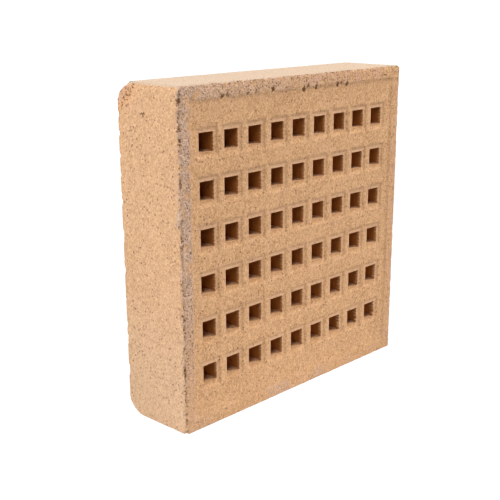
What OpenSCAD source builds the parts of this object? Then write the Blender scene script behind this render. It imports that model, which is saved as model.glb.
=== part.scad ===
// Clay air brick: one fired clay body with rows of square air ways right through it.
// X runs along the width and Z is up. Y runs through the thickness, with the front face
// towards -Y. The origin is below the middle of the body, on the surface it stands on.

/* [Body] */
// Width of the body
body_w = 215; // [180:1:300]
// Height of the body
body_h = 215; // [180:1:300]
// Thickness of the body, from the front face to the back
body_t = 56; // [30:1:110]

/* [Rounded edges] */
// Radius along the front face's four edges
front_edge_r = 1.2; // [0.5:0.1:5]
// Radius of the front outline's two upper corners
top_corner_r = 4; // [1:0.5:12]
// Radius of the front outline's two lower corners
bottom_corner_r = 1.5; // [1:0.5:12]
// Radius along the two upright edges at the back
rear_side_r = 3; // [1:0.5:12]
// Radius along the top edge at the back
rear_top_r = 10; // [1:0.5:24]
// Radius along the bottom edge at the back
rear_bottom_r = 18; // [1:0.5:24]

/* [Front panel] */
// Width of the raised rim at each side of the panel
rim_side_w = 9.2; // [4:0.1:16]
// Height of the raised rim above and below the panel
rim_end_h = 9.5; // [4:0.1:16]
// Depth of the panel behind the rim
panel_depth = 0.8; // [0.2:0.1:3]

/* [Air ways] */
// Number of air ways in a row
columns = 9; // [2:1:11]
// Number of rows
rows = 6; // [2:1:9]
// Side of each square air way
way_side = 12; // [6:0.1:14.5]
// Clay between the panel's left edge and the first column
margin_left = 7.9; // [3:0.1:20]
// Clay between the last column and the panel's right edge
margin_right = 9.9; // [3:0.1:20]
// Clay between the top row and the panel's top edge
margin_top = 18.5; // [3:0.1:30]
// Clay between the bottom row and the panel's bottom edge
margin_bottom = 19.9; // [3:0.1:30]
// Width of the shallow pocket's floor around each air way
pocket_border = 2.4; // [0.5:0.1:4]
// Depth of the pockets behind the panel
pocket_depth = 0.5; // [0.2:0.1:3]

/* [Hidden] */
$fn = 64;
over = 1;
half_w = body_w / 2;
front_y = -body_t / 2;
back_y = body_t / 2;
panel_y = front_y + panel_depth;
pocket_y = panel_y + pocket_depth;
panel_w = body_w - 2 * rim_side_w;
panel_h = body_h - 2 * rim_end_h;
first_x = -panel_w / 2 + margin_left + way_side / 2;
last_x = panel_w / 2 - margin_right - way_side / 2;
bottom_z = rim_end_h + margin_bottom + way_side / 2;
top_z = body_h - rim_end_h - margin_top - way_side / 2;
pitch_x = (last_x - first_x) / (columns - 1);
pitch_z = (top_z - bottom_z) / (rows - 1);
pocket_side = way_side + 2 * pocket_border;

// What a rounding of radius r takes off a square corner at the origin.
module corner_waste(r) {
    difference() {
        translate([-over, -over]) square(r + over);
        translate([r, r]) circle(r);
    }
}

// A rectangle from the origin, with a radius of its own at each corner.
module rounded_rect(w, h, low_left, low_right, top_right, top_left) {
    difference() {
        square([w, h]);
        corner_waste(low_left);
        translate([w, 0]) mirror([1, 0]) corner_waste(low_right);
        translate([w, h]) rotate(180) corner_waste(top_right);
        translate([0, h]) mirror([0, 1]) corner_waste(top_left);
    }
}

// The body seen from the side, drawn out along the width.
module side_outline_solid() {
    translate([-half_w, front_y, 0])
        rotate([90, 0, 90])
            linear_extrude(body_w)
                rounded_rect(body_t, body_h, front_edge_r, rear_bottom_r, rear_top_r, front_edge_r);
}

// The body seen from the front, drawn out through the thickness.
module front_outline_solid() {
    translate([-half_w, back_y, 0])
        rotate([90, 0, 0])
            linear_extrude(body_t)
                rounded_rect(body_w, body_h, bottom_corner_r, bottom_corner_r,
                             top_corner_r, top_corner_r);
}

// The body seen from above, drawn out up the height.
module plan_outline_solid() {
    translate([-half_w, front_y, 0])
        linear_extrude(body_h)
            rounded_rect(body_w, body_t, front_edge_r, front_edge_r, rear_side_r, rear_side_r);
}

// The shallow recess that leaves a raised rim around the front face.
module panel_recess() {
    translate([-panel_w / 2, front_y - over, rim_end_h])
        cube([panel_w, panel_depth + over, panel_h]);
}

// A square cut centred on x, z that runs from one y to another.
module square_cut(x, z, side, from_y, to_y) {
    translate([x - side / 2, from_y, z - side / 2])
        cube([side, to_y - from_y, side]);
}

// One air way right through the body, with the shallow pocket around its mouth.
module air_way(x, z) {
    square_cut(x, z, pocket_side, front_y - over, pocket_y);
    square_cut(x, z, way_side, front_y - over, back_y + over);
}

module air_brick() {
    color([0.80, 0.63, 0.45])
        difference() {
            intersection() {
                side_outline_solid();
                front_outline_solid();
                plan_outline_solid();
            }
            panel_recess();
            for (row = [0 : rows - 1], column = [0 : columns - 1])
                air_way(first_x + column * pitch_x, bottom_z + row * pitch_z);
        }
}

air_brick();
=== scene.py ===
"""Builds a worn, buff clay air brick around its construction model, with its stage."""

import math
from types import SimpleNamespace

import bmesh
import bpy
from bpy.props import FloatProperty, FloatVectorProperty, PointerProperty
from bpy.types import Operator, Panel, PropertyGroup
from mathutils import Matrix, Vector, noise


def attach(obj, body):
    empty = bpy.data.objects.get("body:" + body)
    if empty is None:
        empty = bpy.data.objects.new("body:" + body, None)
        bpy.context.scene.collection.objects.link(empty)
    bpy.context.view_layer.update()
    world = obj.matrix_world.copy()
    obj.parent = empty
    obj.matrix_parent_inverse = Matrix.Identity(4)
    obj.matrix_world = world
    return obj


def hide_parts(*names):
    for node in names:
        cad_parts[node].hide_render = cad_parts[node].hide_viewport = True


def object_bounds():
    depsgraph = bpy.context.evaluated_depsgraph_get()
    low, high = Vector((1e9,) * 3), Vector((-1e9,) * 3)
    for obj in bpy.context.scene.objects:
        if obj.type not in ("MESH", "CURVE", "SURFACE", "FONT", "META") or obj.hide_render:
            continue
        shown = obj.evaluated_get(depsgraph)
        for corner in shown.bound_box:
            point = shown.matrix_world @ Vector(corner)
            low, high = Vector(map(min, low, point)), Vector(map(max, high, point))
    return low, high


bl_info = {
    "name": "Clay Air Brick",
    "version": (1, 0, 0),
    "blender": (4, 5, 0),
    "location": "3D View > Sidebar > Air Brick",
    "description": "Builds a worn, buff clay air brick around its construction model, with its stage",
    "category": "Add Mesh",
}

MM = 0.001
NODE = "air_brick"
SAME_PLACE = 0.01 * MM
X, Y, Z = range(3)
WANDER_SEED = 7

# How much of its normal a face has along an axis that it faces roughly, and squarely.
ROUGHLY = 0.6
SQUARELY = 0.9

# What wear_surface stores on the vertices for the finish, and what press_relief does.
# Of these, way is painted shade, lip and dust are partly painted light and hollow is partly painted shade.
WEAR_AND_SHADE_MASKS = ("torn", "bloom", "way", "dust", "hollow", "fresh", "lip", "arris")
# The slope mask is painted shade on the relief's slopes.
SLOPE_SHADE_MASK = "slope"

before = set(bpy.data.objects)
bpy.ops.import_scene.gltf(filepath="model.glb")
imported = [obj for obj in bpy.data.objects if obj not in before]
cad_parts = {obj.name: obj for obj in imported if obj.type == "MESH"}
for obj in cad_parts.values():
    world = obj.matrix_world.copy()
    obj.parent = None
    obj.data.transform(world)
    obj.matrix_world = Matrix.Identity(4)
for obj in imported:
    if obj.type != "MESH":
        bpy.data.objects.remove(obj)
CAD_LOW, CAD_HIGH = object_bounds()


# ---------------------------------------------------------------- settings


class AirBrickShape(PropertyGroup):
    """Sizes of the visual body that aren't measured on the construction model."""

    cell: FloatProperty(
        name="Cell",
        description="Longest side of a mesh cell on the front face",
        default=1.1 * MM, subtype="DISTANCE", unit="LENGTH")
    side_cell: FloatProperty(
        name="Side Cell",
        description="Longest cell across the thickness, on the outer sides",
        default=2.2 * MM, subtype="DISTANCE", unit="LENGTH")
    panel_step: FloatProperty(
        name="Panel Step",
        description="Width of the slope at the panel's left edge",
        default=1.4 * MM, subtype="DISTANCE", unit="LENGTH")
    panel_worn_step: FloatProperty(
        name="Worn Panel Step",
        description="Width of the slope at the panel's other three edges",
        default=3.2 * MM, subtype="DISTANCE", unit="LENGTH")
    pocket_step: FloatProperty(
        name="Pocket Step",
        description="Width of the slope round each pocket",
        default=1.9 * MM, subtype="DISTANCE", unit="LENGTH")
    pocket_wear: FloatProperty(
        name="Pocket Wear",
        description="How much deeper the pockets are worn than the construction model has them",
        default=0.4 * MM, subtype="DISTANCE", unit="LENGTH")
    front_edge_r: FloatProperty(
        name="Front Edge Radius",
        description="Radius along the front face's four edges",
        default=0.8 * MM, subtype="DISTANCE", unit="LENGTH")
    top_corner_r: FloatProperty(
        name="Top Corner Radius",
        description="Radius of the front outline's two upper corners",
        default=4.0 * MM, subtype="DISTANCE", unit="LENGTH")
    bottom_corner_r: FloatProperty(
        name="Bottom Corner Radius",
        description="Radius of the front outline's two lower corners",
        default=1.5 * MM, subtype="DISTANCE", unit="LENGTH")
    rear_side_r: FloatProperty(
        name="Rear Side Radius",
        description="Radius along the two upright edges at the back",
        default=3.0 * MM, subtype="DISTANCE", unit="LENGTH")
    rear_top_r: FloatProperty(
        name="Rear Top Radius",
        description="Radius along the top edge at the back",
        default=10.0 * MM, subtype="DISTANCE", unit="LENGTH")
    rear_bottom_r: FloatProperty(
        name="Rear Bottom Radius",
        description="Radius along the bottom edge at the back",
        default=18.0 * MM, subtype="DISTANCE", unit="LENGTH")
    broken_corner: FloatProperty(
        name="Broken Corner",
        description="How far the break reaches along the edges at the rear top left corner",
        default=11.0 * MM, subtype="DISTANCE", unit="LENGTH")
    chip_depth: FloatProperty(
        name="Chip Depth",
        description="Deepest chip along the most worn outer edge",
        default=1.8 * MM, subtype="DISTANCE", unit="LENGTH")
    chip_reach: FloatProperty(
        name="Chip Reach",
        description="How far from an outer edge the chips reach",
        default=3.4 * MM, subtype="DISTANCE", unit="LENGTH")
    roughness: FloatProperty(
        name="Roughness",
        description="Depth of the torn surface on the rim",
        default=0.3 * MM, subtype="DISTANCE", unit="LENGTH")
    waviness: FloatProperty(
        name="Waviness",
        description="How far the pressed faces wander from flat",
        default=0.15 * MM, subtype="DISTANCE", unit="LENGTH")
    wander: FloatProperty(
        name="Wander",
        description="How far the edges of the panel and the pockets stray from straight",
        default=0.45 * MM, subtype="DISTANCE", unit="LENGTH")
    burr: FloatProperty(
        name="Burr",
        description="How far torn clay stands into an air way at its mouth",
        default=0.3 * MM, subtype="DISTANCE", unit="LENGTH")
    teeth: FloatProperty(
        name="Teeth",
        description="How far the torn teeth at a mouth's right edge stand out, at the lower right",
        default=1.3 * MM, subtype="DISTANCE", unit="LENGTH")


class AirBrickColours(PropertyGroup):
    """Colours of the fired clay, and of the painted shade and light on it."""

    clay: FloatVectorProperty(
        name="Clay", description="Buff clay between the sand grains",
        default=(0.365, 0.188, 0.079), subtype="COLOR", min=0.0, max=1.0)
    sand: FloatVectorProperty(
        name="Sand", description="Pale sand grains in the clay",
        default=(0.70, 0.422, 0.227), subtype="COLOR", min=0.0, max=1.0)
    bloom: FloatVectorProperty(
        name="Bloom", description="Grey-mauve bloom on the torn rim",
        default=(0.445, 0.30, 0.22), subtype="COLOR", min=0.0, max=1.0)
    blush: FloatVectorProperty(
        name="Blush", description="Pinkish patches at the rims and mouths",
        default=(0.60, 0.34, 0.24), subtype="COLOR", min=0.0, max=1.0)
    # Also the painted shade on the relief's slopes and in the nicks' hollows.
    speck: FloatVectorProperty(
        name="Speck", description="Dark iron specks and open pits",
        default=(0.13, 0.055, 0.02), subtype="COLOR", min=0.0, max=1.0)
    fresh: FloatVectorProperty(
        name="Fresh Clay", description="Orange clay laid bare where the corner broke off",
        default=(0.72, 0.34, 0.14), subtype="COLOR", min=0.0, max=1.0)
    # Partly the mouths' own pinkish edge and partly painted light; it also paints light on the air ways'
    # floors.
    lip: FloatVectorProperty(
        name="Lip", description="Pale pinkish edge round the mouths of the air ways",
        default=(0.74, 0.455, 0.285), subtype="COLOR", min=0.0, max=1.0)
    # Pale dusting, and painted sheen on the faces that the light falls on most.
    dust: FloatVectorProperty(
        name="Dust", description="Pale dust on what faces up",
        default=(0.57, 0.43, 0.315), subtype="COLOR", min=0.0, max=1.0)
    # Painted shade: the colour that the air ways' walls turn to where light doesn't reach them, not a clay
    # of their own; a paler copy deep inside is painted light.
    core: FloatVectorProperty(
        name="Core", description="Darker clay inside the air ways",
        default=(0.25, 0.078, 0.01), subtype="COLOR", min=0.0, max=1.0)


class AirBrickStage(PropertyGroup):
    """Camera, lights and floor."""

    azimuth: FloatProperty(
        name="Azimuth", description="Way the camera looks, turned from straight at the front",
        default=math.radians(-46.43), subtype="ANGLE", unit="ROTATION")
    elevation: FloatProperty(
        name="Elevation", description="Height of the camera as an angle over the floor",
        default=math.radians(16.87), subtype="ANGLE", unit="ROTATION")
    roll: FloatProperty(
        name="Roll", description="Turn of the camera about its line of sight",
        default=math.radians(-0.21), subtype="ANGLE", unit="ROTATION")
    distance: FloatProperty(
        name="Distance", description="From the camera to the point it looks at",
        default=0.6026, subtype="DISTANCE", unit="LENGTH")
    aim: FloatVectorProperty(
        name="Aim", description="Point on the front plane that the camera looks at, from its lower middle",
        default=(-0.04885, 0.0, 0.08993), subtype="TRANSLATION", unit="LENGTH")
    lens: FloatProperty(
        name="Lens", description="Focal length", default=67.79, unit="CAMERA")
    shift: FloatVectorProperty(
        name="Shift", description="Sideways and upward shift of the lens", size=2, default=(-0.001, 0.0566))
    floor: FloatVectorProperty(
        name="Floor", description="Colour of the plain floor",
        default=(0.5, 0.5, 0.5), subtype="COLOR", min=0.0, max=1.0)
    floor_glow: FloatProperty(
        name="Floor Glow", description="Light that the floor throws up at the middle of its bright pool",
        default=0.75)
    glow_centre: FloatVectorProperty(
        name="Glow Centre", description="Middle of the floor's bright pool",
        default=(-0.01, -0.12, 0.0), subtype="TRANSLATION", unit="LENGTH")
    glow_reach: FloatProperty(
        name="Glow Reach", description="How far the floor's bright pool spreads",
        default=0.3, subtype="DISTANCE", unit="LENGTH")
    surround: FloatProperty(
        name="Surround", description="Strength of the even white light all round", default=0.06)


class AirBrickSettings(PropertyGroup):
    """All that a user would change."""

    shape: PointerProperty(type=AirBrickShape)
    colours: PointerProperty(type=AirBrickColours)
    stage: PointerProperty(type=AirBrickStage)


# ---------------------------------------------------------------- plan, read from the frame


def levels(points, axis):
    """The separate values that the points have along an axis, from low to high."""
    found = []
    for value in sorted(point[axis] for point in points):
        if not found or value - found[-1] > SAME_PLACE:
            found.append(value)
    return found


def pairs(values):
    """Groups values two by two."""
    return list(zip(values[::2], values[1::2]))


def nearest_span(value, spans):
    """The span whose middle is nearest to a value."""
    return min(spans, key=lambda span: abs(value - sum(span) / 2))


def span_at(value, spans):
    """The span that holds a value, or None."""
    return next((span for span in spans if span[0] - SAME_PLACE < value < span[1] + SAME_PLACE), None)


def read_plan():
    """Where the construction model has its panel, pockets and air ways."""
    inset = 6 * MM  # clear of the rounded edges, and less than the rim's width
    inner = [
        vertex.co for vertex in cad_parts[NODE].data.vertices
        if CAD_LOW.x + inset < vertex.co.x < CAD_HIGH.x - inset
        and CAD_LOW.z + inset < vertex.co.z < CAD_HIGH.z - inset
    ]
    front_y, panel_y, pocket_y, back_y = levels(inner, Y)

    def at(depth, axis):
        return levels([point for point in inner if abs(point.y - depth) < SAME_PLACE], axis)

    return SimpleNamespace(
        front_y=front_y, panel_y=panel_y, pocket_y=pocket_y, back_y=back_y,
        panel_x=at(front_y, X), panel_z=at(front_y, Z),
        pockets_x=pairs(at(panel_y, X)[1:-1]), pockets_z=pairs(at(panel_y, Z)[1:-1]),
        ways_x=pairs(at(back_y, X)), ways_z=pairs(at(back_y, Z)),
    )


# ---------------------------------------------------------------- body mesh


def split(stops, cell):
    """Divides each stretch between two stops into equal cells about as long as cell."""
    lines = [stops[0]]
    for start, end in zip(stops, stops[1:]):
        count = max(1, round((end - start) / cell))
        lines += [start + (end - start) * step / count for step in range(1, count + 1)]
    return lines


def slope_stops(edge, width):
    """Where a slope of the given width about an edge starts, is half way and ends."""
    return [edge - width / 2, edge, edge + width / 2]


def face_lines(low, high, panel, panel_steps, pockets, ways, shape):
    """Mesh lines across the front, with some on each slope and on each air way's edges."""
    edge = shape.front_edge_r
    stops = [low, low + edge / 3, low + edge] + slope_stops(panel[0], panel_steps[0])
    for pocket, way in zip(pockets, ways):
        stops += slope_stops(pocket[0], shape.pocket_step) + [way[0], way[1]]
        stops += slope_stops(pocket[1], shape.pocket_step)
    stops += slope_stops(panel[1], panel_steps[1]) + [high - edge, high - edge / 3, high]
    return split(stops, shape.cell)


def within(value, spans):
    """Whether a value lies inside one of the spans."""
    return any(low < value < high for low, high in spans)


def pressed_sheet(bm, plan, shape):
    """A flat grid for the front face, with the air ways cut out of it."""
    crisp, worn = shape.panel_step, shape.panel_worn_step
    xs = face_lines(CAD_LOW.x, CAD_HIGH.x, plan.panel_x, (crisp, worn), plan.pockets_x, plan.ways_x, shape)
    zs = face_lines(CAD_LOW.z, CAD_HIGH.z, plan.panel_z, (worn, worn), plan.pockets_z, plan.ways_z, shape)
    columns = len(xs) - 1
    rows = len(zs) - 1
    bmesh.ops.create_grid(bm, x_segments=columns, y_segments=rows, size=0.5)
    if len(bm.verts) != len(xs) * len(zs):
        raise RuntimeError("the front grid hasn't the cells that its lines need")
    for vertex in bm.verts:
        column = round((vertex.co.x + 0.5) * columns)
        row = round((vertex.co.y + 0.5) * rows)
        vertex.co = (xs[column], plan.front_y, zs[row])
    cut = []
    for face in bm.faces:
        centre = face.calc_center_median()
        if within(centre.x, plan.ways_x) and within(centre.z, plan.ways_z):
            cut.append(face)
    bmesh.ops.delete(bm, geom=cut, context="FACES")
    return xs, zs


def spread_rings(bm, edges, stations):
    """Cuts the walls that the edges cross into rings, one at each station through the thickness."""
    cuts = len(stations) - 2
    low, high = stations[0], stations[-1]
    made = bmesh.ops.subdivide_edges(bm, edges=edges, cuts=cuts, use_grid_fill=True)
    for item in made["geom_inner"]:
        if isinstance(item, bmesh.types.BMVert):
            ring = round((item.co.y - low) / (high - low) * (cuts + 1))
            item.co.y = stations[ring]


def air_way_stations(plan):
    """Depths of the rings inside an air way, close together at its two mouths."""
    from_mouth = [0.7, 1.8, 3.6, 6.4, 10.5, 17.0, 27.0]
    from_back = [6.0, 2.4, 0.7]
    stations = [plan.pocket_y + depth * MM for depth in from_mouth]
    stations += [plan.back_y - depth * MM for depth in from_back]
    return [plan.front_y] + stations + [plan.back_y]


def outer_stations(plan, shape):
    """Depths of the rings round the outer sides."""
    edge = shape.front_edge_r
    fine_to = plan.front_y + 6 * MM
    front = [plan.front_y, plan.front_y + edge / 3, plan.front_y + edge, fine_to]
    rest = [fine_to, plan.back_y - edge, plan.back_y - edge / 3, plan.back_y]
    return split(front, shape.cell) + split(rest, shape.side_cell)[1:]


def draw_through(bm, plan, shape):
    """Draws the sheet through the thickness and cuts its walls into rings."""
    drawn = bmesh.ops.extrude_face_region(bm, geom=bm.faces[:])
    moved = [item for item in drawn["geom"] if isinstance(item, bmesh.types.BMVert)]
    bmesh.ops.translate(bm, verts=moved, vec=(0, plan.back_y - plan.front_y, 0))
    through = [edge for edge in bm.edges if abs(edge.verts[0].co.y - edge.verts[1].co.y) > 1 * MM]

    def is_outer(edge):
        place = edge.verts[0].co
        return (min(place.x - CAD_LOW.x, CAD_HIGH.x - place.x) < SAME_PLACE
                or min(place.z - CAD_LOW.z, CAD_HIGH.z - place.z) < SAME_PLACE)

    outer = [edge for edge in through if is_outer(edge)]
    inner = [edge for edge in through if not is_outer(edge)]
    spread_rings(bm, outer, outer_stations(plan, shape))
    spread_rings(bm, inner, air_way_stations(plan))
    bmesh.ops.recalc_face_normals(bm, faces=bm.faces[:])


def ease_corner(place, across, up, corner, radius):
    """Draws a point that lies in a square corner in to a round one of the given radius."""
    inward_across = 1 if corner[0] < 0 else -1
    inward_up = 1 if corner[1] < 0 else -1
    box = (CAD_LOW, CAD_HIGH)
    centre_across = box[corner[0] > 0][across] + inward_across * radius
    centre_up = box[corner[1] > 0][up] + inward_up * radius
    offset_across = (centre_across - place[across]) * inward_across
    offset_up = (centre_up - place[up]) * inward_up
    if offset_across <= 0 or offset_up <= 0:
        return
    shrink = max(offset_across, offset_up) / math.hypot(offset_across, offset_up)
    place[across] = centre_across - inward_across * offset_across * shrink
    place[up] = centre_up - inward_up * offset_up * shrink


def round_edges(bm, shape):
    """Rounds the square body: from the side, then its outline, then from above."""
    rounds = [
        (Y, Z, (-1, -1), shape.front_edge_r), (Y, Z, (-1, 1), shape.front_edge_r),
        (Y, Z, (1, -1), shape.rear_bottom_r), (Y, Z, (1, 1), shape.rear_top_r),
        (X, Z, (-1, -1), shape.bottom_corner_r), (X, Z, (1, -1), shape.bottom_corner_r),
        (X, Z, (-1, 1), shape.top_corner_r), (X, Z, (1, 1), shape.top_corner_r),
        (X, Y, (-1, -1), shape.front_edge_r), (X, Y, (1, -1), shape.front_edge_r),
        (X, Y, (-1, 1), shape.rear_side_r), (X, Y, (1, 1), shape.rear_side_r),
    ]
    for vertex in bm.verts:
        for across, up, corner, radius in rounds:
            ease_corner(vertex.co, across, up, corner, radius)


def smoothstep(low, high, value):
    """Eases from 0 at low to 1 at high."""
    share = min(1.0, max(0.0, (value - low) / (high - low)))
    return share * share * (3 - 2 * share)


def fall(low, high, value):
    """Eases from 1 at low to 0 at high."""
    return 1 - smoothstep(low, high, value)


def ripple(place, per_mm):
    """Smooth noise from about -1 to 1 at a place, with about per_mm ripples to a millimetre."""
    return noise.noise(place / MM * per_mm)


def thin_back(bm, plan, lines):
    """Dissolves every second mesh line of the back, which is nearly plain."""
    for axis, values in zip((X, Z), lines):
        fixed = plan.ways_x + [plan.panel_x] if axis == X else plan.ways_z + [plan.panel_z]
        kept = [value for span in fixed for value in span]
        spare = {round(value / SAME_PLACE) for value in values[3:-3:2]
                 if all(abs(value - other) > SAME_PLACE for other in kept)}
        edges = []
        for edge in bm.edges:
            first, second = edge.verts
            if min(first.co.y, second.co.y) < plan.back_y - SAME_PLACE:
                continue
            if abs(first.co[axis] - second.co[axis]) > SAME_PLACE:
                continue
            if round(first.co[axis] / SAME_PLACE) not in spare:
                continue
            if all(face.normal.y > SQUARELY for face in edge.link_faces):
                edges.append(edge)
        bmesh.ops.dissolve_edges(bm, edges=edges, use_verts=True)


def inside_share(value, low, high, low_step, high_step):
    """How far a value is between two edges that each have a slope of their own width."""
    from_low = smoothstep(-low_step / 2, low_step / 2, value - low)
    from_high = smoothstep(-high_step / 2, high_step / 2, high - value)
    return min(from_low, from_high)


def pocket_share(value, pockets, step):
    """How far a value is inside one of the pockets."""
    return max(inside_share(value, low, high, step, step) for low, high in pockets)


def relief_depth(place, plan, shape):
    """How far the front lies behind the rim at a place, and how near the middle of a slope it is."""
    crisp, worn = shape.panel_step, shape.panel_worn_step
    place = place + noise.noise_vector(place / MM * 0.07) * shape.wander
    panel = min(inside_share(place.x, plan.panel_x[0], plan.panel_x[1], crisp, worn),
                inside_share(place.z, plan.panel_z[0], plan.panel_z[1], worn, worn))
    pocket = min(pocket_share(place.x, plan.pockets_x, shape.pocket_step),
                 pocket_share(place.z, plan.pockets_z, shape.pocket_step))
    shallow_reach = 12 * MM  # under the top rim, where the panel is only half as deep
    shallow = 1 - 0.5 * smoothstep(plan.panel_z[1] - shallow_reach, plan.panel_z[1], place.z)
    depth = shallow * panel * (plan.panel_y - plan.front_y)
    depth += pocket * (plan.pocket_y - plan.panel_y + shape.pocket_wear)
    return depth, max(4 * panel * (1 - panel), 4 * pocket * (1 - pocket))


def press_relief(bm, plan, shape):
    """Sinks the panel and the pockets of the front sheet to their depths, and marks their slopes for
    painted shade.
    """
    noise.seed_set(WANDER_SEED)  # noise_vector starts from the clock unless it has a seed
    slope_shade_mask = bm.verts.layers.float.new(SLOPE_SHADE_MASK)
    for vertex in bm.verts:
        if vertex.co.y < plan.front_y + SAME_PLACE:
            depth, slope = relief_depth(vertex.co, plan, shape)
            from_middle = vertex.co.x - sum(nearest_span(vertex.co.x, plan.pockets_x)) / 2
            at_right = smoothstep(4 * MM, 7 * MM, from_middle)
            vertex.co.y = plan.front_y + depth
            # Painted shade on the slopes, strongest right of each pocket.
            vertex[slope_shade_mask] = slope * (0.4 + 0.6 * at_right)


def break_corner(bm, shape):
    """Breaks the rear top left corner off along a rough slanted face."""
    for vertex in bm.verts:
        place = vertex.co
        fade = fall(1 * MM, 16 * MM, place.x - CAD_LOW.x)
        if fade <= 0:
            continue
        reach = (CAD_HIGH.y - place.y) + (CAD_HIGH.z - place.z)
        over = shape.broken_corner * fade - reach
        if over > 0:
            place.y -= over / 2
            place.z -= over / 2


# The two faces that meet at each worn edge, and the edge's share of full wear.
EDGE_WEAR = (
    ("left", "front", 1.0), ("top", "front", 0.45), ("right", "front", 0.14), ("bottom", "front", 0.1),
    ("left", "back", 0.5), ("top", "back", 0.4), ("right", "back", 0.4), ("bottom", "back", 0.3),
    ("left", "top", 0.45), ("right", "top", 0.35), ("left", "bottom", 0.1), ("right", "bottom", 0.15),
)


def edge_wear(place, reach):
    """Share of full wear at a place: 1 on the most worn edge, 0 away from the edges."""
    gaps = {
        "left": place.x - CAD_LOW.x, "right": CAD_HIGH.x - place.x,
        "front": place.y - CAD_LOW.y, "back": CAD_HIGH.y - place.y,
        "bottom": place.z - CAD_LOW.z, "top": CAD_HIGH.z - place.z,
    }
    return max(share * fall(0, reach, max(gaps[first], gaps[second])) for first, second, share in EDGE_WEAR)


def is_in_way(place, plan):
    """Whether a point lies on an air way's wall, behind its mouth."""
    return (plan.pocket_y + SAME_PLACE < place.y < plan.back_y - SAME_PLACE
            and span_at(place.x, plan.ways_x) is not None
            and span_at(place.z, plan.ways_z) is not None)


def rim_share(place, plan):
    """How far a point belongs to the raised rim: 1 on it, 0 away from it."""
    outside = max(plan.panel_x[0] - place.x, place.x - plan.panel_x[1],
                  plan.panel_z[0] - place.z, place.z - plan.panel_z[1])
    ragged = 3.4 * ripple(place, per_mm=0.3) + 7.0 * max(0.0, ripple(place, per_mm=0.09) + 0.05)
    upper = smoothstep(60 * MM, 130 * MM, place.z)
    behind = place.y - plan.front_y - ragged * MM * (0.3 + 0.7 * upper)
    return smoothstep(-0.3 * MM, 0.7 * MM, outside) * fall(0.2 * MM, 1.4 * MM, behind)


def front_sides(place):
    """How far a place lies towards the left, the top and the right of the front."""
    left = smoothstep(-60 * MM, -99 * MM, place.x)
    top = smoothstep(202 * MM, 206 * MM, place.z)
    right = smoothstep(60 * MM, 99 * MM, place.x)
    return left, top, right


def rim_tear(place, rim):
    """How torn a rim place is: wholly at the left, less along the top and right, little at the bottom."""
    left, top, right = front_sides(place)
    upper = smoothstep(10 * MM, 60 * MM, place.z)
    return rim * max(0.25, left * (0.35 + 0.65 * upper), 0.75 * top, 0.5 * right)


def bloom_share(place, rim):
    """How much of the grey-mauve bloom a rim place shows: most at the upper left."""
    left, top, _ = front_sides(place)
    upper = smoothstep(20 * MM, 110 * MM, place.z)
    top *= smoothstep(110 * MM, -90 * MM, place.x)
    foot = smoothstep(12 * MM, 8 * MM, place.z) * smoothstep(-0.05, 0.25, ripple(place, per_mm=0.045))
    right_arris = smoothstep(104.5 * MM, 107 * MM, place.x)
    return rim * max(left * (0.25 + 0.75 * upper), 0.65 * top, 0.5 * foot, 0.6 * right_arris)


# Where a grain has fallen out or a flake has gone, in millimetres: place, reach, depth, darkness. The
# darkness is painted shade in the hollow.
NICKS = (
    (-107.5, -28.0, 206.0, 3.2, 2.2, 0.90), (-107.5, -28.0, 199.0, 2.4, 1.5, 0.60),
    (-107.5, -28.0, 190.0, 3.0, 1.8, 0.60), (-107.5, -28.0, 184.0, 2.8, 1.6, 0.55),
    (-107.5, -28.0, 160.0, 2.4, 1.3, 0.50), (-107.5, -28.0, 128.0, 2.2, 1.2, 0.50),
    (-107.5, -28.0, 96.0, 2.6, 1.4, 0.50), (-107.5, 3.6, 197.0, 1.9, 1.0, 1.00),
    (-60.0, -28.0, 215.0, 3.4, 1.3, 0.45), (25.0, -28.0, 215.0, 3.0, 1.1, 0.35),
    (-72.0, -28.0, 206.6, 2.0, 0.8, 0.85), (-67.5, -28.0, 207.2, 1.8, 0.7, 0.60),
    (-50.0, -28.0, 206.8, 1.7, 0.6, 0.70), (-43.0, -28.0, 207.4, 1.6, 0.6, 0.60),
    (-27.5, -28.0, 207.8, 2.4, 0.9, 1.00),
    (2.0, -28.0, 205.4, 2.4, 0.9, 1.00), (6.0, -28.0, 207.6, 1.9, 0.7, 0.70),
    (14.5, -28.0, 205.8, 2.4, 0.8, 0.95), (36.5, -28.0, 206.2, 2.3, 0.8, 0.95),
    (41.0, -28.0, 207.2, 2.0, 0.7, 0.80), (46.5, -28.0, 205.8, 2.2, 0.8, 0.95),
)


def nick_share(place):
    """Depth of the nicks at a place, and the painted shade in their hollows."""
    depth = 0.0
    dark = 0.0
    for x, y, z, reach, hollow, shade in NICKS:
        gap = (place - Vector((x, y, z)) * MM).length / (reach * MM)
        if gap < 1:
            share = (1 - gap * gap) ** 2
            depth = max(depth, hollow * MM * share)
            dark = max(dark, shade * smoothstep(1.0, 0.35, gap))
    return depth, dark


def mouth_shares(place, plan):
    """How pale the front is left of a mouth and above it, partly its pinkish edge and partly painted light,
    and how dark right of it and below, which is painted shade.
    """
    pale = dark = 0.0
    if place.y > plan.pocket_y + 0.5 * MM:
        return pale, dark
    left, right = nearest_span(place.x, plan.ways_x)
    low, high = nearest_span(place.z, plan.ways_z)
    past_right = place.x - right
    across = max(left - place.x, past_right)
    below, above = low - place.z, place.z - high
    if below > -SAME_PLACE:
        dark = 0.26 * fall(0, 1.5 * MM, across) * fall(0.2 * MM, 2.8 * MM, below)
    elif above > SAME_PLACE:
        pale = fall(0.8 * MM, 3.4 * MM, max(across, above))
    elif past_right > -SAME_PLACE:
        dark = 0.2 * fall(0.2 * MM, 2.4 * MM, past_right)
    else:
        pale = 0.6 * fall(0.1 * MM, 1.3 * MM, across)
    return pale, dark


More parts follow.
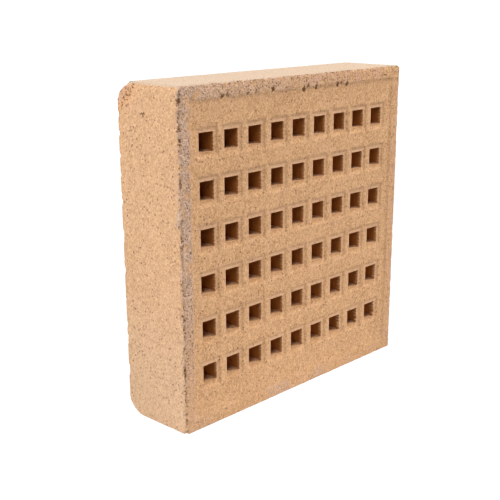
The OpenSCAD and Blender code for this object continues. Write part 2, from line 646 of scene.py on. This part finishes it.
def way_shade(place, normal, plan):
    """How far a point in an air way has turned to its painted shade colour: 1 near the mouth, 2 deep
    inside, where the painted shade is paler.
    """
    inwards = min(place.y - plan.pocket_y, plan.back_y - place.y)
    if normal.z > ROUGHLY:
        # On the floor, painted light on the lit ledge past the lip, and full painted shade far in.
        past_lip = 0.24 * smoothstep(1 * MM, 6 * MM, inwards)
        far_in = 0.9 * smoothstep(10 * MM, 24 * MM, inwards)
        return 0.34 - past_lip + far_in
    # The painted light fades sooner in a way's upper part, in the upper rows and at the upper left, and
    # later on the teeth of the right wall.
    low, high = nearest_span(place.z, plan.ways_z)
    up = (2 * place.z - low - high) / (high - low)
    upper_left = smoothstep(30 * MM, -80 * MM, place.x) * smoothstep(50 * MM, 170 * MM, place.z)
    is_right_wall = normal.x < -ROUGHLY
    tooth = drag_share(place) if is_right_wall else 0.0
    # Depths in millimetres at which the light starts to fade and has gone.
    start = (0.0 if is_right_wall else 0.4) + 3.2 * tooth
    end = 3.4 - 0.5 * max(0.0, up) - 0.5 * smoothstep(40 * MM, 180 * MM, place.z) - 0.9 * upper_left
    lit = max(0.0, 1 - max(0.0, inwards / MM - start) / (end + 4.5 * tooth - start))
    # Painted light: deep inside, the painted shade pales.
    deep = (1 - 0.6 * upper_left) * smoothstep(2.5 * MM, 11 * MM, inwards)
    return (1 - lit * lit) * (1 + deep)


def rear_tear_share(place):
    """How torn the left end is towards its rear edge, most at the broken corner."""
    from_back = CAD_HIGH.y - place.y
    from_top = CAD_HIGH.z - place.z
    near_left = fall(2 * MM, 12 * MM, place.x - CAD_LOW.x)
    near_back = fall(1 * MM, 9 * MM, from_back)
    near_top = fall(8 * MM, 60 * MM, from_top)
    near_corner = fall(10 * MM, 26 * MM, math.hypot(from_back, from_top))
    return near_left * max(0.8 * near_back * near_top, near_corner)


def dust_and_sheen_share(place, normal):
    """How much pale dusting and painted sheen a face takes: all over the top, and a little on the ends and
    the back.
    """
    on_top = smoothstep(0.6, 0.95, normal.z)
    on_end = (0.22 + 0.22 * smoothstep(110 * MM, 20 * MM, place.z)) * smoothstep(0.5, 0.9, abs(normal.x))
    on_back = 0.2 * smoothstep(0.5, 0.9, normal.y)
    return max(on_top, on_end, on_back)


def wear_surface(bm, plan, shape):
    """Chips the outer edges, lets the faces wander a little and stores the finish's masks, painted shade
    and light among them.
    """
    masks = {name: bm.verts.layers.float.new(name) for name in WEAR_AND_SHADE_MASKS}
    bm.normal_update()
    normals = [vertex.normal.copy() for vertex in bm.verts]
    for vertex, normal in zip(bm.verts, normals):
        place = vertex.co.copy()
        # Pale edges by the mouths, partly painted light, and painted shade below and right of them.
        vertex[masks["lip"]], vertex[masks["way"]] = mouth_shares(place, plan)
        if is_in_way(place, plan):
            # Painted shade on the air way's walls.
            vertex[masks["way"]] = way_shade(place, normal, plan)
            # On the floor, painted light: the pale lip colour a few millimetres in.
            if normal.z > ROUGHLY:
                vertex[masks["lip"]] = smoothstep(1 * MM, 7 * MM, place.y - plan.pocket_y)
            continue
        rim = rim_share(place, plan)
        edge = edge_wear(place, shape.chip_reach)
        fresh = rear_tear_share(place)
        nick, hollow = nick_share(place)
        torn = max(rim_tear(place, rim), fresh, min(1.0, 1.3 * edge))
        chips = smoothstep(0.0, 0.45, noise.fractal(place / MM * 0.22, 1.0, 2.0, 3))
        depth = shape.chip_depth * edge * chips
        depth += shape.roughness * torn * (0.5 + 0.5 * ripple(place, per_mm=0.6))
        depth += shape.waviness * (0.5 + 0.5 * ripple(place, per_mm=0.06))
        vertex.co = place - normal * max(depth, nick)
        vertex[masks["torn"]] = torn
        vertex[masks["bloom"]] = bloom_share(place, rim)
        vertex[masks["dust"]] = dust_and_sheen_share(place, normal)
        pitted = smoothstep(0.1, 0.4, ripple(place, per_mm=0.5))
        # The nicks' painted shade, and pits along the worn edges and at the broken corner.
        vertex[masks["hollow"]] = max(hollow, pitted * max(0.6 * edge, 0.55 * fresh))
        vertex[masks["arris"]] = edge
        vertex[masks["fresh"]] = fresh


def drag_share(place):
    """How far torn teeth stand out at a height of a mouth's right edge: most at the lower right."""
    dragged = 0.2 + 0.8 * smoothstep(15 * MM, 55 * MM, place.x) * smoothstep(75 * MM, 45 * MM, place.z)
    return dragged * smoothstep(-0.2, 0.7, math.sin(2.6 * place.z / MM) + ripple(place, per_mm=0.4))


def tear_mouths(bm, plan, shape):
    """Leaves an uneven burr of torn clay round each air way's mouth, and teeth at its right edge."""
    torn_reach = 4 * MM
    layer = 7.0  # which layer of the cell noise says how torn each mouth is
    for vertex in bm.verts:
        place = vertex.co
        behind = place.y - plan.pocket_y
        if not -SAME_PLACE < behind < torn_reach:
            continue
        span_x = span_at(place.x, plan.ways_x)
        span_z = span_at(place.z, plan.ways_z)
        if span_x is None or span_z is None:
            continue
        side_x = place.x - sum(span_x) / 2
        side_z = place.z - sum(span_z) / 2
        ragged = 0.5 + 0.5 * ripple(place, per_mm=0.9)
        torn = noise.cell(Vector((span_x[0] / MM, layer, span_z[0] / MM)))
        push = shape.burr * (0.4 + 1.2 * torn) * ragged * fall(0, torn_reach, behind)
        drag = shape.teeth * drag_share(place) * fall(0.5 * MM, torn_reach, behind)
        if abs(abs(side_x) - (span_x[1] - span_x[0]) / 2) < SAME_PLACE:
            place.x -= max(push, drag) if side_x > 0 else -push
        if abs(abs(side_z) - (span_z[1] - span_z[0]) / 2) < SAME_PLACE:
            place.z -= math.copysign(push, side_z)


def keep_in_box(bm):
    """Holds the worn body inside the construction model's box."""
    for vertex in bm.verts:
        for axis in (X, Y, Z):
            vertex.co[axis] = min(CAD_HIGH[axis], max(CAD_LOW[axis], vertex.co[axis]))


def add_piece(name, bm, material):
    """Turns a finished bmesh into an object with its finish."""
    mesh = bpy.data.meshes.new(name)
    bm.to_mesh(mesh)
    bm.free()
    mesh.shade_smooth()
    mesh.set_sharp_from_angle(angle=math.radians(50))
    mesh.materials.append(material)
    piece = bpy.data.objects.new(name, mesh)
    bpy.context.scene.collection.objects.link(piece)
    return piece


# ---------------------------------------------------------------- clay finish


def join(tree, source, target):
    """Links an output to an input, or sets the input when the source is a plain value."""
    if isinstance(source, bpy.types.NodeSocket):
        tree.links.new(source, target)
    else:
        target.default_value = source


def add_node(tree, kind, inputs=None, **properties):
    """Adds a node with its properties, and joins its inputs, which are named or numbered."""
    node = tree.nodes.new(kind)
    for name, value in properties.items():
        setattr(node, name, value)
    for name, source in (inputs or {}).items():
        join(tree, source, node.inputs[name])
    return node


def math_node(tree, operation, first, second):
    """A Math node's output."""
    return add_node(tree, "ShaderNodeMath", {0: first, 1: second}, operation=operation).outputs[0]


def multiply(tree, first, second):
    """The product of two values."""
    return math_node(tree, "MULTIPLY", first, second)


def mix_colours(tree, share, first, second):
    """A colour Mix node's output."""
    inputs = {"Factor": share, 6: first, 7: second}
    return add_node(tree, "ShaderNodeMix", inputs, data_type="RGBA").outputs[2]


def tinted(colour, factor):
    """A colour made paler or darker by a factor."""
    return tuple(factor * part for part in colour)


def ease(tree, value, low, high, to_low=0.0, to_high=1.0):
    """A smooth Map Range from low to high."""
    inputs = {"Value": value, "From Min": low, "From Max": high, "To Min": to_low, "To Max": to_high}
    return add_node(tree, "ShaderNodeMapRange", inputs, interpolation_type="SMOOTHSTEP").outputs["Result"]


def clouds(tree, vector, size, detail=2.0, roughness=0.5):
    """A Noise Texture whose features are about size millimetres across."""
    inputs = {"Vector": vector, "Scale": 1 / size, "Detail": detail, "Roughness": roughness}
    return add_node(tree, "ShaderNodeTexNoise", inputs).outputs["Fac"]


def new_group(name, inputs, outputs):
    """An empty node group with the sockets given, and the sockets that its own nodes join."""
    group = bpy.data.node_groups.new(name, "ShaderNodeTree")
    for in_out, sockets in (("INPUT", inputs), ("OUTPUT", outputs)):
        for socket, kind in sockets.items():
            group.interface.new_socket(socket, in_out=in_out, socket_type="NodeSocket" + kind)
    entry = add_node(group, "NodeGroupInput")
    leave = add_node(group, "NodeGroupOutput")
    return group, entry.outputs, leave.inputs


def scattered_cells(tree, vector, size):
    """Cells of a size at random places: the distance from their middles, and random shares of each."""
    scale = math_node(tree, "DIVIDE", 1.0, size)
    cells = add_node(tree, "ShaderNodeTexVoronoi", {"Vector": vector, "Scale": scale}, feature="F1")
    chance = add_node(tree, "ShaderNodeSeparateColor", {"Color": cells.outputs["Color"]})
    return cells.outputs["Distance"], chance.outputs


def speck_group():
    """Node group: round specks at random places, with a share of the cells left empty."""
    inputs = {"Vector": "Vector", "Spacing": "Float", "Size": "Float", "Share": "Float"}
    group, entry, leave = new_group("Scattered Specks", inputs, {"Mask": "Float"})
    distance, chance = scattered_cells(group, entry["Vector"], entry["Spacing"])
    size = multiply(group, entry["Size"], ease(group, chance["Green"], 0.0, 1.0, 0.5, 1.2))
    dot = ease(group, distance, size, multiply(group, size, 0.45))
    kept = math_node(group, "LESS_THAN", chance["Red"], entry["Share"])
    join(group, multiply(group, dot, kept), leave["Mask"])
    return group


def specks(tree, group, vector, spacing, size, share):
    """One scatter of specks."""
    inputs = {"Vector": vector, "Spacing": spacing, "Size": size, "Share": share}
    return add_node(tree, "ShaderNodeGroup", inputs, node_tree=group).outputs["Mask"]


def mask(tree, name):
    """A mask that the mesh carries on its vertices."""
    return add_node(tree, "ShaderNodeAttribute", attribute_name=name).outputs["Fac"]


def sand_group():
    """Node group: packed sand grains, each between two colours, and their height."""
    inputs = {"Vector": "Vector", "Clay": "Color", "Sand": "Color", "Size": "Float"}
    group, entry, leave = new_group("Packed Sand", inputs, {"Color": "Color", "Height": "Float"})
    distance, chance = scattered_cells(group, entry["Vector"], entry["Size"])
    clump_scale = math_node(group, "DIVIDE", 0.4, entry["Size"])
    clumps = add_node(
        group, "ShaderNodeTexNoise", {"Vector": entry["Vector"], "Scale": clump_scale, "Detail": 3.0})
    clump_share = ease(group, clumps.outputs["Fac"], 0.3, 0.7, 0.0, 0.25)
    share = math_node(group, "ADD", multiply(group, chance["Blue"], 0.75), clump_share)
    join(group, mix_colours(group, share, entry["Clay"], entry["Sand"]), leave["Color"])
    round_grain = ease(group, distance, 0.0, 0.7, 1.0, 0.0)
    join(group, multiply(group, round_grain, share), leave["Height"])
    return group


def clay_tone(tree, place, grain, patches, coarse, masks, paints):
    """The clay's colour before its dusting, sheen and specks: sandy, with orange, pinkish, mauve and pale
    places, painted light at the mouths and painted shade on the slopes.
    """
    mottle = ease(tree, clouds(tree, place, size=16.0), 0.35, 0.7, 0.0, 0.15)
    tone = mix_colours(tree, mottle, grain.outputs["Color"], paints.sand)
    broken = multiply(tree, masks.fresh, ease(tree, coarse, 0.35, 0.6, 0.1, 0.8))
    tone = mix_colours(tree, broken, tone, paints.fresh)
    flushed = multiply(tree, ease(tree, patches, 0.45, 0.65), ease(tree, masks.torn, 0.0, 1.0, 0.12, 0.6))
    tone = mix_colours(tree, flushed, tone, paints.blush)
    bloomed = multiply(tree, masks.bloom, ease(tree, coarse, 0.3, 0.62, 0.5, 1.0))
    mauve_grain = mix_colours(
        tree, ease(tree, coarse, 0.36, 0.64), tinted(paints.bloom, 0.72), tinted(paints.bloom, 1.45))
    tone = mix_colours(tree, bloomed, tone, mauve_grain)
    # Pale edges round the mouths, partly their own colour and partly painted light, and painted light on
    # the air ways' floors.
    tone = mix_colours(tree, multiply(tree, masks.lip, 0.55), tone, paints.lip)
    # Painted shade: the slopes of the panel and the pockets darkened with the speck colour, most right of
    # each pocket.
    return mix_colours(tree, multiply(tree, masks.slope, 0.2), tone, paints.speck)


def dark_spots(tree, place, patches, coarse, masks):
    """Where iron specks and pits show dark, and the painted shade in the hollows of the nicks."""
    group = speck_group()
    crowding = ease(tree, patches, 0.35, 0.65, 0.12, 0.58)
    crowding = math_node(tree, "ADD", crowding, multiply(tree, masks.fresh, 0.6))
    torn_share = ease(tree, masks.torn, 0.15, 0.95, 0.0, 0.58)
    arris_share = ease(tree, masks.arris, 0.25, 0.9, 0.0, 0.4)
    fine_specks = specks(tree, group, place, spacing=2.4, size=0.31, share=crowding)
    spots = specks(tree, group, place, spacing=5.6, size=0.16, share=0.25)
    torn_pits = specks(tree, group, place, spacing=1.8, size=0.44, share=torn_share)
    arris_pits = specks(tree, group, place, spacing=2.6, size=0.47, share=arris_share)
    for layer, strength in ((fine_specks, 0.75), (torn_pits, 0.9), (arris_pits, 0.9)):
        spots = math_node(tree, "MAXIMUM", spots, multiply(tree, layer, strength))
    spots = multiply(tree, spots, ease(tree, masks.dust, 0.4, 1.0, 1.0, 0.12))
    gaps = math_node(tree, "ADD", masks.hollow, ease(tree, coarse, 0.3, 0.7, -0.45, 0.45))
    gaps = multiply(tree, ease(tree, gaps, 0.3, 0.6), ease(tree, masks.hollow, 0.02, 0.2))
    return math_node(tree, "MAXIMUM", spots, gaps)


def fine_relief(tree, grain_height, coarse, torn, spots):
    """A Bump node's normal: standing grains, lumps where the clay is torn, and pits at the specks."""
    height = multiply(tree, grain_height, 0.14)
    height = math_node(tree, "ADD", height, multiply(tree, coarse, torn))
    height = math_node(tree, "SUBTRACT", height, multiply(tree, spots, 0.3))
    bump = add_node(tree, "ShaderNodeBump", {"Strength": 1.0, "Distance": MM, "Height": height})
    return bump.outputs["Normal"]


def clay_material(colours):
    """Buff fired clay: sandy grain, iron specks, torn rim with a grey-mauve bloom."""
    material = bpy.data.materials.new("buff_clay")
    material.use_nodes = True
    tree = material.node_tree
    tree.nodes.clear()
    coords = add_node(tree, "ShaderNodeTexCoord")
    in_mm = {"Vector": coords.outputs["Object"], "Scale": (1 / MM,) * 3}
    place = add_node(tree, "ShaderNodeMapping", in_mm).outputs["Vector"]
    masks = SimpleNamespace(**{name: mask(tree, name) for name in WEAR_AND_SHADE_MASKS + (SLOPE_SHADE_MASK,)})
    paints = SimpleNamespace(**{
        name: tuple(getattr(colours, name)) + (1,) for name in AirBrickColours.__annotations__})

    grain_inputs = {"Vector": place, "Clay": paints.clay, "Sand": paints.sand, "Size": 0.8}
    grain = add_node(tree, "ShaderNodeGroup", grain_inputs, node_tree=sand_group())
    grain_height = grain.outputs["Height"]
    patches = clouds(tree, place, size=9.0, detail=3.0)
    coarse = clouds(tree, place, size=1.25, roughness=0.7)
    tone = clay_tone(tree, place, grain, patches, coarse, masks, paints)
    # Pale dusting and painted sheen, with the grains, on the top and less on the ends and back.
    pale_grain = mix_colours(
        tree, ease(tree, grain_height, 0.0, 0.6), tinted(paints.dust, 0.8), tinted(paints.dust, 1.2))
    tone = mix_colours(tree, multiply(tree, masks.dust, 0.92), tone, pale_grain)
    spots = dark_spots(tree, place, patches, coarse, masks)
    spot_strength = multiply(tree, spots, ease(tree, masks.hollow, 0.0, 0.6, 0.8, 0.96))
    tone = mix_colours(tree, spot_strength, tone, paints.speck)
    # Painted shade in the air ways and below and right of their mouths, paler deep inside as painted light.
    shade = mix_colours(tree, ease(tree, masks.way, 1.0, 2.0), paints.core, tinted(paints.core, 1.9))
    shade_strength = multiply(tree, math_node(tree, "MINIMUM", masks.way, 1.0), 0.97)
    tone = mix_colours(tree, shade_strength, tone, shade)

    shader = add_node(tree, "ShaderNodeBsdfPrincipled", {
        "Base Color": tone,
        "Roughness": ease(tree, grain_height, 0.0, 1.0, 0.95, 0.82),
        "Specular IOR Level": 0.2,
        "Normal": fine_relief(tree, grain_height, coarse, masks.torn, spots),
    })
    add_node(tree, "ShaderNodeOutputMaterial", {"Surface": shader.outputs["BSDF"]})
    return material


# ---------------------------------------------------------------- stage


def direction(azimuth, elevation):
    """The unit vector away from the body at two angles; azimuth 0 is straight in front of it."""
    return Vector((math.sin(azimuth) * math.cos(elevation),
                   -math.cos(azimuth) * math.cos(elevation), math.sin(elevation)))


def white_to_camera(tree, surface, output):
    """Shows plain white to the camera in place of a surface, which still takes and gives light."""
    white = add_node(tree, "ShaderNodeEmission", {"Strength": 1.1})
    sight = add_node(tree, "ShaderNodeLightPath")
    inputs = {"Fac": sight.outputs["Is Camera Ray"], 1: surface, 2: white.outputs["Emission"]}
    blend = add_node(tree, "ShaderNodeMixShader", inputs)
    join(tree, blend.outputs["Shader"], output.inputs["Surface"])


def add_floor(colour, glow, glow_centre, glow_reach):
    """A wide, plain pale floor that throws light up round the foot of the front."""
    bm = bmesh.new()
    bmesh.ops.create_grid(bm, x_segments=1, y_segments=1, size=60.0)
    bmesh.ops.translate(bm, verts=bm.verts[:], vec=(0, 0, CAD_LOW.z))
    mesh = bpy.data.meshes.new("floor")
    bm.to_mesh(mesh)
    bm.free()
    material = bpy.data.materials.new("pale_floor")
    material.use_nodes = True
    tree = material.node_tree
    shader = tree.nodes["Principled BSDF"]
    shader.inputs["Base Color"].default_value = tuple(colour) + (1,)
    shader.inputs["Roughness"].default_value = 0.9
    shader.inputs["Specular IOR Level"].default_value = 0.0
    shader.inputs["Emission Strength"].default_value = glow
    coords = add_node(tree, "ShaderNodeTexCoord")
    ends = {0: coords.outputs["Object"], 1: tuple(glow_centre)}
    away = add_node(tree, "ShaderNodeVectorMath", ends, operation="DISTANCE")
    pool = ease(tree, away.outputs["Value"], 0.0, glow_reach, 1.0, 0.0)
    join(tree, mix_colours(tree, pool, (0, 0, 0, 1), (1, 1, 1, 1)), shader.inputs["Emission Color"])
    white_to_camera(tree, shader.outputs["BSDF"], tree.nodes["Material Output"])
    mesh.materials.append(material)
    floor = bpy.data.objects.new("floor", mesh)
    bpy.context.scene.collection.objects.link(floor)


def add_area_light(name, azimuth, elevation, size, power, distance=1.4):
    """A square, soft white light that faces the middle of the body, its angles in degrees."""
    light = bpy.data.lights.new(name, "AREA")
    light.shape = "SQUARE"
    light.size = size
    light.energy = power
    away = direction(math.radians(azimuth), math.radians(elevation))
    lamp = bpy.data.objects.new(name, light)
    lamp.location = (CAD_LOW + CAD_HIGH) / 2 + away * distance
    lamp.rotation_euler = away.to_track_quat("Z", "Y").to_euler()
    bpy.context.scene.collection.objects.link(lamp)


def add_surround(strength):
    """Even white light from all round."""
    world = bpy.data.worlds.new("studio")
    world.use_nodes = True
    tree = world.node_tree
    background = tree.nodes["Background"]
    background.inputs["Color"].default_value = (1, 1, 1, 1)
    background.inputs["Strength"].default_value = strength
    white_to_camera(tree, background.outputs["Background"], tree.nodes["World Output"])
    bpy.context.scene.world = world


def add_camera(stage):
    """The camera, from its angles, its distance and the point it looks at."""
    back = direction(stage.azimuth, stage.elevation)
    right = (-back).cross(Vector((0, 0, 1))).normalized()
    up = right.cross(-back)
    tilted_right = right * math.cos(stage.roll) + up * math.sin(stage.roll)
    tilted_up = up * math.cos(stage.roll) - right * math.sin(stage.roll)
    aim = Vector(stage.aim) + Vector((0, CAD_LOW.y, CAD_LOW.z))
    data = bpy.data.cameras.new("camera")
    data.lens = stage.lens
    data.sensor_width = 36.0
    data.shift_x, data.shift_y = stage.shift
    data.clip_start = 0.01
    camera = bpy.data.objects.new("camera", data)
    turn = Matrix((tilted_right, tilted_up, back)).transposed().to_4x4()
    camera.matrix_world = Matrix.Translation(aim + back * stage.distance) @ turn
    bpy.context.scene.collection.objects.link(camera)
    bpy.context.scene.camera = camera


# ---------------------------------------------------------------- operators and panel


class AIRBRICK_OT_add_body(Operator):
    """Model the fired clay body with its worn edges and give it its finish"""

    bl_idname = "air_brick.add_body"
    bl_label = "Add Clay Body"

    def execute(self, context):
        settings = context.scene.air_brick
        shape = settings.shape
        plan = read_plan()
        bm = bmesh.new()
        lines = pressed_sheet(bm, plan, shape)
        draw_through(bm, plan, shape)
        thin_back(bm, plan, lines)
        press_relief(bm, plan, shape)
        tear_mouths(bm, plan, shape)
        round_edges(bm, shape)
        break_corner(bm, shape)
        wear_surface(bm, plan, shape)
        keep_in_box(bm)
        body = add_piece("clay_body", bm, clay_material(settings.colours))
        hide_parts(NODE)
        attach(body, "root")
        return {"FINISHED"}


class AIRBRICK_OT_add_stage(Operator):
    """Add the floor, the soft lights and the camera"""

    bl_idname = "air_brick.add_stage"
    bl_label = "Add Stage"

    def execute(self, context):
        stage = context.scene.air_brick.stage
        add_floor(stage.floor, stage.floor_glow, stage.glow_centre, stage.glow_reach)
        add_surround(stage.surround)
        add_area_light("left_light", azimuth=-108, elevation=18, size=0.9, power=15.5)
        add_area_light("left_front_light", azimuth=-62, elevation=32, size=0.6, power=7)
        add_area_light("right_light", azimuth=58, elevation=44, size=0.4, power=16.5)
        add_area_light("top_light", azimuth=2, elevation=73, size=0.6, power=12)
        add_area_light("back_light", azimuth=160, elevation=6, size=0.8, power=12)
        add_camera(stage)
        context.scene.view_settings.view_transform = "Standard"
        return {"FINISHED"}


class AIRBRICK_PT_tools(Panel):
    """Builds the air brick and its stage"""

    bl_label = "Air Brick"
    bl_space_type = "VIEW_3D"
    bl_region_type = "UI"
    bl_category = "Air Brick"

    def draw(self, context):
        settings = context.scene.air_brick
        body = (settings.shape, settings.colours)
        for groups, operator in ((body, AIRBRICK_OT_add_body), ((settings.stage,), AIRBRICK_OT_add_stage)):
            box = self.layout.box()
            for group in groups:
                for name in group.__annotations__:
                    box.prop(group, name)
            box.operator(operator.bl_idname)


CLASSES = (AirBrickShape, AirBrickColours, AirBrickStage, AirBrickSettings,
           AIRBRICK_OT_add_body, AIRBRICK_OT_add_stage, AIRBRICK_PT_tools)


def register():
    """Registers the classes and the scene's settings."""
    for cls in CLASSES:
        bpy.utils.register_class(cls)
    bpy.types.Scene.air_brick = PointerProperty(type=AirBrickSettings)


def unregister():
    """Removes the scene's settings and the classes."""
    del bpy.types.Scene.air_brick
    for cls in reversed(CLASSES):
        bpy.utils.unregister_class(cls)


def main():
    """Builds the whole scene."""
    register()
    bpy.ops.air_brick.add_body()
    bpy.ops.air_brick.add_stage()


if __name__ == "__main__":
    main()
